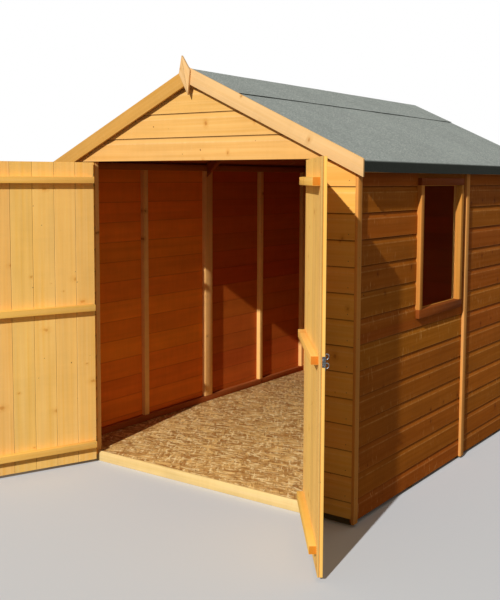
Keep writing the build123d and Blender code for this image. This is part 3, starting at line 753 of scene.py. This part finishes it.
def makeRoofBoards(side, name):
    # boards side by side down the slope, chamfered below so that they meet in vees inside the shed
    low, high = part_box(f"roof_boards_{name}")
    thick = (high[2] - ridgeUnder) * math.cos(pitch)
    end = (max(abs(low[0]), abs(high[0])) - thick * math.sin(pitch)) / math.cos(pitch)
    board = roofing["board"]
    edges = np.append(np.arange(0, end - board * roofing["least"], board), end)
    v = roofing["vee"]
    shapes = []
    down, off, ridge = slopeAxes(side)
    origin = (0, 0, ridgeUnder)
    for a, b in zip(edges[:-1], edges[1:]):
        profile = [(a, v), (a + v, 0), (b - v, 0), (b, v), (b, thick), (a, thick)]
        shape = carry(profile, (low[1], high[1]), (down, off, ridge), origin=origin)
        shapes.append(growGrain(shape, ridge, down, off, origin))
    makePiece(f"roofBoarding_{name}", shapes, roofBoardingPaintedShade, "shed", [f"roof_boards_{name}"])


makeRoofBoards(-1, "left")
makeRoofBoards(1, "right")


def ripple(x, y, kind, side=0):
    # a smooth uneven surface: the mean of a few sine waves with seeded directions, lengths and phases
    scale, seed = roofing["ripples"][kind]
    dice = np.random.default_rng(seed + side)
    total = 0
    for _ in range(roofing["waves"]):
        way, phase = dice.uniform(0, math.pi), dice.uniform(0, 7)
        wave = scale * dice.uniform(*roofing["waveShare"])
        total = total + np.sin((x * math.cos(way) + y * math.sin(way)) / wave * 2 * math.pi + phase)
    return total / roofing["waves"]


def runAlong(s, angle):
    # a path that falls at an angle: x and z are the running sums of its cosine and minus its sine
    step = np.diff(s)
    mid = (angle[1:] + angle[:-1]) / 2
    return np.append(0, np.cumsum(np.cos(mid) * step)), np.append(0, np.cumsum(-np.sin(mid) * step))


def feltSheet(x, z, angle, lift, s, y, side=1, layer=0.0):
    # A sheet as a closed surface: point(s, y) = path(s) + lift*normal(s), with the normal (side*sin, cos) of
    # the path's angle, and the same less its thickness for the underside, joined along the four edges.
    normal = np.stack([side * np.sin(angle)[:, None] + 0 * y, 0 * y, np.cos(angle)[:, None] + 0 * y], 2)
    top = np.stack([x + 0 * y, y, z + 0 * y], 2) + normal * lift[..., None]
    under = top - normal * roofing["thick"]
    index = np.arange(s.size).reshape(s.shape)
    other = index + s.size
    quads = np.concatenate([
        gridQuads(index), gridQuads(other.T),
        gridQuads(np.column_stack([index[0], other[0]]))[:, ::-1],
        gridQuads(np.column_stack([index[-1], other[-1]])),
        gridQuads(np.column_stack([index[:, 0], other[:, 0]])),
        gridQuads(np.column_stack([index[:, -1], other[:, -1]]))[:, ::-1],
    ])
    sheet = np.stack([s, y, np.zeros_like(s)], 2).reshape(-1, 3)
    points = np.concatenate([top.reshape(-1, 3), under.reshape(-1, 3)])
    return {"points": points, "quads": quads if side > 0 else quads[:, ::-1], "caps": [],
            "sheet": np.concatenate([sheet, sheet + (0, 0, 1)]), "layer": np.full(len(points), layer)}


def makeFeltSlope(side, name, material):
    # the path's angle stays at the pitch, then turns to plumb round the eaves bend
    low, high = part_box(f"felt_{name}")
    eaves = max(abs(low[0]), abs(high[0]))
    bend = roofing["bend"]
    straight = (eaves - bend * (1 - math.sin(pitch))) / math.cos(pitch)
    turn = bend * (math.pi / 2 - pitch)
    drop = high[2] - straight * math.sin(pitch) - bend * math.cos(pitch) - low[2]
    slopeRows, bendRows, foldRows = roofing["rows"]
    s = np.concatenate([np.linspace(0, straight, slopeRows), straight + np.linspace(0, turn, bendRows)[1:],
                        straight + turn + np.linspace(0, drop, foldRows)[1:]])
    angle = pitch + np.clip((s - straight) / turn, 0, 1) * (math.pi / 2 - pitch)
    x, z = runAlong(s, angle)
    s, y = np.meshgrid(s, np.linspace(low[1], high[1], roofing["columns"]), indexing="ij")
    fall = np.clip((s - straight) / (turn + drop), 0, 1)
    lift = roofing["wave"] * (ripple(s, y, "slope", side) * (1 - fall)
                              + roofing["foldWave"] * fall * ripple(y, s, "fold", side))
    sag = roofing["sag"] * fall ** 2 * ripple(y, 0 * s, "sag", side)
    shape = feltSheet(side * x[:, None], high[2] + z[:, None] + sag, angle, lift, s, y, side)
    makePiece(f"feltSlope_{name}", [shape], material, "shed", [f"felt_{name}"])


def makeFeltCap(material):
    # the angle goes from minus the pitch to the pitch over a short rounded crest
    low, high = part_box("felt_ridge_cap")
    reach = high[0] / math.cos(pitch)
    crest = roofing["crest"]
    sideRows, crestRows = roofing["capRows"]
    s = np.concatenate([np.linspace(-reach, -crest, sideRows), np.linspace(-crest, crest, crestRows)[1:-1],
                        np.linspace(crest, reach, sideRows)])
    angle = pitch * np.clip(s / crest, -1, 1)
    x, z = runAlong(s, angle)
    x -= x[-1] / 2
    z += high[2] - roofing["crestDrop"] - z.max()
    s, y = np.meshgrid(s, np.linspace(low[1], high[1], roofing["columns"]), indexing="ij")
    edge = np.clip((np.abs(s) - reach + roofing["edge"]) / roofing["edge"], 0, 1)
    curl = edge ** 2 * roofing["curl"] * (1 + ripple(y, 0 * s, "curl"))
    stray = np.sign(s) * edge * roofing["stray"] * ripple(y, 0 * s, "stray")
    lift = roofing["wave"] * ripple(s, y, "cap") + curl
    shape = feltSheet(x[:, None] + stray * math.cos(pitch), z[:, None], angle, lift, s, y, layer=1.0)
    makePiece("feltCap", [shape], material, "shed", ["felt_ridge_cap"])


mineral = {
    "slate": "#7E8782",         # crushed slate: its darker grains, the lighter, and a few bright flecks
    "grains": "#A1A9A5",
    "flecks": "#CDD2CC",
    # painted shade for the fold down at the eaves
    "fold": "#1E231C",
    "cut": "#1B1B1A",
    "bitumenAndShade": "#1E2220",       # squeezed out along the cap's edges, and partly painted shade beside them
    "gritScale": 130.0,         # how often each pattern changes, per metre
    "fleckScale": 190.0,
    "cloudScale": 3.0,
    "washScale": (1.2, 16.0, 0.0),          # down the sheet and along it
    "grit": (0.35, 0.65, 0.0, 1.0),         # from this part of a pattern to this range
    "fleck": (0.86, 0.9, 0.0, 0.5),
    "cloud": (0.3, 0.7, 0.93, 1.07),
    "wash": (0.3, 0.7, -0.04, 0.04),
    "foldPaintedShade": (-0.006, 0.004, 0.96),      # painted shade on the fold: before and past the fold's line, and how dark it gets
    "backFade": (0.05, 0.2, 0.0, 1.0),
    "bleedLine": 0.004,                     # outside the cap's edge, and how unevenly it runs
    "bleed": (0.0008, 0.0022, 0.5, 0.0),
    "relief": 0.0012,
    "strength": 0.6,
    "rough": 0.9,
    "gloss": 0.2,
}


def mineralFelt(name):
    # Bitumen felt faced with crushed green-grey slate: matt and speckled, black where it is cut and where
    # it folds down, with a line of bitumen along the edges of the cap
    # The bitumen line beside the cap's edges is partly painted shade too.
    # The fold's dark is painted shade, as the fold faces away from the light.
    m = mineral
    material = bpy.data.materials.new(name)
    node = emptied(material)
    sheet = node("Attribute", attribute_name="sheet").outputs["Vector"]
    parts = node("SeparateXYZ", [sheet])
    place = node("TexCoord").outputs["Object"]
    grit = node("TexNoise", {"Vector": place, "Scale": m["gritScale"], "Detail": 3.0, "Roughness": 0.7})
    spots = node("TexVoronoi", {"Vector": place, "Scale": m["fleckScale"]})
    clouds = node("TexNoise", {"Vector": place, "Scale": m["cloudScale"], "Detail": 4.0})
    runs = node("VectorMath", [sheet, m["washScale"]], operation="MULTIPLY")
    wash = node("TexNoise", {"Vector": runs, "Scale": 1.0, "Detail": 3.0})
    speck = node("MapRange", [grit, *m["grit"]])
    bright = node("MapRange", [node("SeparateColor", [spots.outputs["Color"]]), *m["fleck"]])
    colour = linear(m["slate"])
    for share, tint in ((speck, "grains"), (bright, "flecks")):
        colour = node("Mix", {0: share, 6: colour, 7: linear(m[tint])}, data_type="RGBA").outputs[2]
    mood = node("MapRange", [clouds, *m["cloud"]])
    washed = node("MapRange", [wash, *m["wash"]])
    value = node("Math", [mood, washed], operation="ADD")
    colour = node("HueSaturation", {"Value": value, "Color": colour}).outputs[0]

    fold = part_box("felt_right")[1][0] / math.cos(pitch)
    before, past, dark = m["foldPaintedShade"]
    # painted shade over the fold
    down = node("MapRange", [parts.outputs[0], fold + before, fold + past, 0.0, dark])
    back = node("MapRange", [parts.outputs[2], *m["backFade"]])
    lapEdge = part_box("felt_ridge_cap")[1][0] / math.cos(pitch)
    # the dark line beside the cap's edges: bitumen, and partly painted shade
    uneven = node("Math", [wash, m["bleedLine"], parts.outputs[0]], operation="MULTIPLY_ADD")
    offLap = node("Math", [uneven, lapEdge + m["bleedLine"]], operation="SUBTRACT")
    offLap = node("Math", [offLap], operation="ABSOLUTE")
    bleed = node("MapRange", [offLap, *m["bleed"]])
    onCap = node("Attribute", attribute_name="layer").outputs["Fac"]
    lower = node("MapRange", [onCap, 0.0, 1.0, 1.0, 0.0])
    glue = node("Math", [bleed, lower], operation="MULTIPLY")
    for share, tint in ((down, "fold"), (back, "cut"), (glue, "bitumenAndShade")):
        colour = node("Mix", {0: share, 6: colour, 7: linear(m[tint])}, data_type="RGBA").outputs[2]
    relief = node("Bump", {"Strength": m["strength"], "Distance": m["relief"], "Height": grit})
    felt = node("BsdfPrincipled", {"Base Color": colour, "Roughness": m["rough"], "Normal": relief,
                                   "Specular IOR Level": m["gloss"]})
    node("OutputMaterial", {"Surface": felt})
    return material


felt = mineralFelt("greenMineralFelt")
makeFeltSlope(-1, "left", felt)
makeFeltSlope(1, "right", felt)
makeFeltCap(felt)
print("roof made")


# Floor

strand = {
    "glue": "#B98541",
    "flakes": ("#9C662A", "#E9BC72"),       # each lies between these two
    # each layer's turn in degrees, and the share of its flakes that shows
    "layers": ((0.0, 1.0), (24.0, 0.5), (-28.0, 0.45), (58.0, 0.3), (-10.0, 0.3)),
    "shift": (3.1, 1.7),                    # from layer to layer
    "flakeScale": (11.0, 40.0, 0.0),        # flakes per metre along and across
    "bend": (0.35, 0.7, 0.0),               # how crooked they are
    "bendScale": 18.0,                      # bends per metre
    "cover": 0.75,                          # how much a flake hides of what is below
    "rim": (0.0, 0.12, 0.6, 1.0),           # its dark edge
    "sliverScale": (14.0, 66.0, 1.0),
    # pale and dark slivers: from this part of their pattern to this share, in this colour
    "slivers": ((0.60, 0.66, 0.0, 0.6, "#F6DA9E"), (0.40, 0.34, 0.0, 0.6, "#8E5E26")),
    "fuzz": 240.0,
    "relief": 0.0008,
    "strength": 0.4,
    "rough": 0.7,
    "gloss": 0.25,
}


def strandBoard(name):
    # Wood strands pressed flat in layers: golden flakes some 90 by 25 mm lying every way, each its own shade
    # with a dark edge, and split slivers 8 mm wide, drawn coarser than real so that they show
    s = strand
    material = bpy.data.materials.new(name)
    node = emptied(material)
    place = node("TexCoord").outputs["Object"]
    colour = linear(s["glue"])
    dark, light = (linear(shade) for shade in s["flakes"])
    for layer, (turn, share) in enumerate(s["layers"]):
        shift = (layer * s["shift"][0], layer * s["shift"][1], 0)
        spin = (0, 0, math.radians(turn))
        spun = node("Mapping", {"Vector": place, "Rotation": spin, "Location": shift})
        flat = node("VectorMath", [spun, s["flakeScale"]], operation="MULTIPLY")
        bent = node("TexNoise", {"Vector": spun, "Scale": s["bendScale"], "Detail": 2.0})
        warp = node("VectorMath", [bent.outputs["Color"], s["bend"], flat], operation="MULTIPLY_ADD")
        cells = {"Vector": warp, "Scale": 1.0}
        flakes = node("TexVoronoi", cells, voronoi_dimensions="2D")
        rim = node("TexVoronoi", cells, voronoi_dimensions="2D", feature="DISTANCE_TO_EDGE")
        dice = node("SeparateColor", [flakes.outputs["Color"]])
        fine = node("VectorMath", [spun, s["sliverScale"]], operation="MULTIPLY")
        slivers = node("TexNoise", {"Vector": fine, "Scale": 1.0, "Detail": 1.0})
        tint = node("Mix", {0: dice, 6: dark, 7: light}, data_type="RGBA")
        dim = node("MapRange", [rim.outputs["Distance"], *s["rim"]])
        edged = node("HueSaturation", {"Value": dim, "Color": tint.outputs[2]})
        shown = node("Math", [dice.outputs[1], share], operation="LESS_THAN")
        shown = node("Math", [shown, s["cover"]], operation="MULTIPLY")
        colour = node("Mix", {0: shown, 6: colour, 7: edged}, data_type="RGBA").outputs[2]
        for *reach, shade in s["slivers"]:
            sliver = node("MapRange", [slivers, *reach])
            colour = node("Mix", {0: sliver, 6: colour, 7: linear(shade)}, data_type="RGBA").outputs[2]
    fuzz = node("TexNoise", {"Vector": place, "Scale": s["fuzz"], "Detail": 2.0})
    relief = node("Bump", {"Strength": s["strength"], "Distance": s["relief"], "Height": fuzz})
    board = node("BsdfPrincipled", {"Base Color": colour, "Roughness": s["rough"], "Normal": relief,
                                    "Specular IOR Level": s["gloss"]})
    node("OutputMaterial", {"Surface": board})
    return material


planed("floorDeck", ["floor_deck"], strandBoard("orientedStrandBoard"))
print("floor made")


# Metal and glass

# mottle is how much the roughness varies, spot how large its spots are in metres
blackSteel = {"colour": "#1C1B1A", "metallic": 0.0, "rough": 0.45, "mottle": 0.08, "spot": 0.006}
brightZinc = {"colour": "#989B9D", "metallic": 1.0, "rough": 0.3, "mottle": 0.1, "spot": 0.004}
# Wire nails left out in the rain: dull brown-grey, rough, with the zinc gone from their heads
dullWire = {"colour": "#6E4A2A", "metallic": 0.3, "rough": 0.6, "mottle": 0.1, "spot": 0.003}


metalwork = {
    "shades": (0.85, 1.15),     # the spots' own lightness
    "strength": 0.2,
    "relief": 0.0003,
}


def plainMetal(name, look):
    # a metal or its coating: one colour, with mottled shade and roughness that show how it was finished
    material = bpy.data.materials.new(name)
    node = emptied(material)
    place = node("TexCoord").outputs["Object"]
    spots = node("TexNoise", {"Vector": place, "Scale": 1 / look["spot"], "Detail": 4.0})
    rough = (look["rough"] - look["mottle"], look["rough"] + look["mottle"])
    paleWearAndHighlight = node("MapRange", [spots, *midRange, *rough])
    value = node("MapRange", [spots, *midRange, *metalwork["shades"]])
    tint = node("HueSaturation", {"Value": value, "Color": linear(look["colour"])})
    bumps = node("Bump", {"Strength": metalwork["strength"], "Distance": metalwork["relief"],
                          "Height": spots})
    metal = node("BsdfPrincipled", {"Base Color": tint, "Roughness": paleWearAndHighlight, "Metallic": look["metallic"],
                                    "Normal": bumps})
    node("OutputMaterial", {"Surface": metal})
    return material


def dress(node, material):
    slots = frame["nodes"][node].data.materials
    slots.clear()
    slots.append(material)


japanned = plainMetal("blackJapannedSteel", blackSteel)
zinc = plainMetal("brightZincPlate", brightZinc)
dullNails = plainMetal("weatheredWireNails", dullWire)
for node in ("hinge_plates", "left_door_straps", "right_door_straps"):
    dress(node, japanned)
for node in ("right_door_hasp", "left_door_keeper"):
    dress(node, zinc)

glazing = {
    "tint": "#DFE6E0",
    "rough": 0.02,
    "ior": 1.02,            # little mirror, so that the dark room shows through
    "bead": 0.0035,         # radius of the beads round the pane
    "beadSteps": 6,
}


def clearGlass(name):
    # thin horticultural glass: clear, faintly green
    material = bpy.data.materials.new(name)
    node = emptied(material)
    glass = node("BsdfPrincipled", {"Base Color": linear(glazing["tint"]), "Roughness": glazing["rough"],
                                    "IOR": glazing["ior"], "Transmission Weight": 1.0})
    node("OutputMaterial", {"Surface": glass})
    return material


dress("window_pane", clearGlass("horticulturalGlass"))


def glazingBeads():
    # quarter-round beads along the pane's four edges: (size*cos t, size*sin t) for t to a quarter turn
    size = glazing["bead"]
    t = np.linspace(0, math.pi / 2, glazing["beadSteps"])
    quarter = np.concatenate([[(0, 0)], np.column_stack([np.cos(t), np.sin(t)]) * size])
    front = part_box("window_pane")[1][0]
    stile = sorted(solidsOf("window_stiles"), key=lambda solid: solid[0, 1])
    y = (stile[0][:, 1].max(), stile[1][:, 1].min())
    z = (stile[0][:, 2].min(), stile[0][:, 2].max())
    away, across, up = (1, 0, 0), (0, 1, 0), (0, 0, 1)
    between = (z[0] + size, z[1] - size)
    shapes = []
    for corner, inward, way, ends in (
            ((front, 0, z[0]), up, across, y), ((front, 0, z[1]), (0, 0, -1), across, y),
            ((front, y[0], 0), across, up, between), ((front, y[1], 0), (0, -1, 0), up, between)):
        shape = carry(quarter, ends, (away, inward, way), origin=corner)
        shapes.append(growGrain(shape, way, inward, away, corner))
    makePiece("glazingBeads", shapes, stileStain)


glazingBeads()
print("metal and glass made")


# Nails and screws

fixing = {
    "nail": (0.0021, 0.0005),       # head radius, and how far it stands out
    "screw": (0.0042, 0.0016),
    # rings from the sunk rim to the crown, in shares of those two
    "dome": ((1, -0.5), (1, 0.3), (0.72, 0.85), (0.3, 1.0)),
    "around": 10,                   # points round a head
    "up": 0.025,                    # above a board's lower line
    "offFoot": 0.015,               # least distance from a panel's lower edge
    "offJoint": 0.030,              # either side of a joint between panels
    "wideStud": 0.05,               # a stud wider than this carries such a joint
    "stripEnds": (0.12, 0.05),      # first nail above a strip's foot, last below its head
    "stripSpacing": 0.36,
    "strapScrews": (0.055, 0.140, 0.240),       # from the pin
    "strapThick": 0.003,            # of a strap or plate, on which its screws stand
    "strapLong": 0.31,              # leaf nails lie further than this from the pin
    "offMiddle": 0.03,              # a leaf nail, from the middle of its board
    "plateScrew": (0.0195, 0.020),  # from the pin, and above and below the middle
}


def heads(places, out, kind):
    # Domed heads, all at once: point = place + r(cos a*U + sin a*V) + h*N, over the rings of (r, h), where
    # U and V are any two directions square to the outward N and to each other
    rings = np.array(fixing["dome"]) * fixing[kind]
    out = np.array(out, float)
    leaning = (0.3, 0.2, 0.93)      # not along any wall's normal
    u = np.cross(out, leaning)
    u /= np.linalg.norm(u)
    a = np.linspace(0, 2 * math.pi, fixing["around"], endpoint=False)
    circle = np.cos(a)[:, None] * u + np.sin(a)[:, None] * np.cross(out, u)
    head = rings[:, :1, None] * circle + rings[:, 1:, None] * out
    points = np.array(places, float)[:, None, None] + head
    quads, caps = ringFaces(points.shape[:3])
    return {"points": points.reshape(-1, 3), "quads": quads, "caps": caps}


def wallNails(material):
    # one nail a board over each stud, and along the gables' slopes
    halfDepth = -gableLow[1]
    shapes = []
    for node, skin, out in (("left_wall_studs", "left_wall_front", (-1, 0, 0)),
                            ("right_wall_studs", "right_wall_below_window", (1, 0, 0)),
                            ("back_studs", "back_wall", (0, 1, 0)),
                            ("front_posts", "front_wall_right", (0, -1, 0))):
        axis = 0 if out[0] else 1
        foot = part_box(skin)[0][2]
        lines = np.array(boardLines((foot, wallTop))) + fixing["up"]
        lines = lines[(lines > foot + fixing["offFoot"]) & (lines < wallTop)]
        across = set()
        for solid in solidsOf(node):
            low, high = solid[:, 1 - axis].min(), solid[:, 1 - axis].max()
            wide = high - low > fixing["wideStud"]
            across |= {-fixing["offJoint"], fixing["offJoint"]} if wide else {(low + high) / 2}
        a, z = (grid.ravel() for grid in np.meshgrid(sorted(across), lines))
        face = np.full(len(a), (halfWidth if axis == 0 else halfDepth) * out[axis])
        shapes.append(heads(np.column_stack([face, a, z] if axis == 0 else [a, face, z]), out, "nail"))
    rise = np.array(boardLines((wallTop, ridgeUnder))) + fixing["up"]
    reach = (ridgeUnder - rise) / slope - fixing["offJoint"]
    rise, reach = rise[reach > 0], reach[reach > 0]
    x, z = np.concatenate([reach, -reach]), np.concatenate([rise, rise])
    for side in (-1, 1):
        shapes.append(heads(np.column_stack([x, np.full(len(x), side * halfDepth), z]), (0, side, 0), "nail"))
    makePiece("wallNails", shapes, material)


def stripNails(material):
    # a row up the middle of each strip's outer face
    foot, head = fixing["stripEnds"]
    shapes = []
    for node in ("corner_strips", "cover_strips"):
        for solid in solidsOf(node):
            low, high = solid.min(0), solid.max(0)
            side = math.copysign(1, low[0])
            z = np.arange(low[2] + foot, high[2] - head, fixing["stripSpacing"])
            x = max(abs(low[0]), abs(high[0])) * side
            spots = np.column_stack([np.full(len(z), x), np.full(len(z), (low[1] + high[1]) / 2), z])
            shapes.append(heads(spots, (side, 0, 0), "nail"))
    makePiece("stripNails", shapes, material)


def leafFixings(body, nails, screws):
    # drawn closed on the outer face, then swung open; gives back the screws of the fixed hinge plates
    seams, face = leafSeams[body]
    pin = hinges[body]["pos_m"][0]
    step = -math.copysign(1, pin)
    straps = [swung(solid, body, False) for solid in solidsOf(body + "_straps")]
    middles = np.array([(strap[:, 2].min() + strap[:, 2].max()) / 2 for strap in straps])

    def row(x, z, depth, kind):
        x, z = (grid.ravel() for grid in np.meshgrid(x, z))
        return heads(np.column_stack([x, np.full(len(x), depth), z]), (0, -1, 0), kind)

    proud = face - fixing["strapThick"]
    boards = (np.array(seams[1:]) + seams[:-1]) / 2
    boards = np.concatenate([boards - fixing["offMiddle"], boards + fixing["offMiddle"]])
    boards = boards[(boards - pin) * step > fixing["strapLong"]]
    onStrap = row(pin + step * np.array(fixing["strapScrews"]), middles, proud, "screw")
    inBoard = row(boards, middles, face, "nail")
    for shape, name, material, slot in ((onStrap, "StrapScrews", screws, "black_ironwork"),
                                        (inBoard, "LeafNails", nails, "zinc_plate")):
        shape["points"] = swung(shape["points"], body, True)
        makePiece(body.split("_")[0] + name, [shape], material, body)
    away, up = fixing["plateScrew"]
    return row(pin - step * away, np.concatenate([middles - up, middles + up]), proud, "screw")


wallNails(dullNails)
stripNails(dullNails)
plateScrews = [leafFixings(body, dullNails, japanned) for body in ("left_door", "right_door")]
makePiece("plateScrews", plateScrews, japanned)
print("nails and screws made")

# Studio

studio = {
    "floor": "#D5D9DC",
    "bounce": "#7C7C78",        # what the floor sends back to the object
    "reach": 400,               # metres of floor each way
    "tiles": 8,
    "under": 0.0005,            # the floor lies this far below the bearers
    "world": 0.27,
    "sky": "#FFECD9",
    "sun": 3.8,
    "sunWay": (0.150, -0.860, 0.488),       # towards the lamp, as the photo's shadows run
    "sunSoft": 0.8,             # degrees
}


def makeStudio():
    # a soft even world that shows white, one sun whose axes are z towards it, x level and y = z cross x,
    # and a pale floor at z = 0
    scene = bpy.context.scene
    scene.view_settings.view_transform = "Standard"
    scene.world = bpy.data.worlds.new("studio")
    node = emptied(scene.world)
    path = node("LightPath")
    seen = path.outputs["Is Camera Ray"]
    for ray in ("Is Glossy Ray", "Is Transmission Ray"):
        seen = node("Math", [seen, path.outputs[ray]], operation="MAXIMUM")
    light = node("Background", {"Color": linear(studio["sky"]), "Strength": studio["world"]})
    white = node("Background", {"Color": (1, 1, 1, 1), "Strength": 1.0})
    both = node("MixShader", [seen, light, white])
    node("OutputWorld", {"Surface": both})

    lamp = bpy.data.lights.new("keyLamp", "SUN")
    lamp.energy = studio["sun"]
    lamp.angle = math.radians(studio["sunSoft"])
    key = bpy.data.objects.new("keyLamp", lamp)
    z = np.array(studio["sunWay"]) / np.linalg.norm(studio["sunWay"])
    x = np.cross((0, 0, 1), z)
    x /= np.linalg.norm(x)
    key.matrix_world = Matrix(np.column_stack([x, np.cross(z, x), z]).tolist()).to_4x4()
    scene.collection.objects.link(key)

    material = bpy.data.materials.new("paleFloor")
    node = emptied(material)
    path = node("LightPath")
    colour = node("Mix", {0: path.outputs["Is Camera Ray"], 6: linear(studio["bounce"]),
                          7: linear(studio["floor"])}, data_type="RGBA")
    matt = node("BsdfDiffuse", {"Color": colour.outputs[2]})
    node("OutputMaterial", {"Surface": matt})
    reach = np.linspace(-studio["reach"], studio["reach"], studio["tiles"] + 1)
    x, y = np.meshgrid(reach, reach, indexing="ij")
    points = np.stack([x, y, 0 * x - studio["under"]], 2).reshape(-1, 3)
    mesh = bpy.data.meshes.new("floor")
    mesh.from_pydata(points.tolist(), [], gridQuads(np.arange(x.size).reshape(x.shape)).tolist())
    mesh.materials.append(material)
    floor = bpy.data.objects.new("floor", mesh)
    scene.collection.objects.link(floor)


makeStudio()
print("studio made")
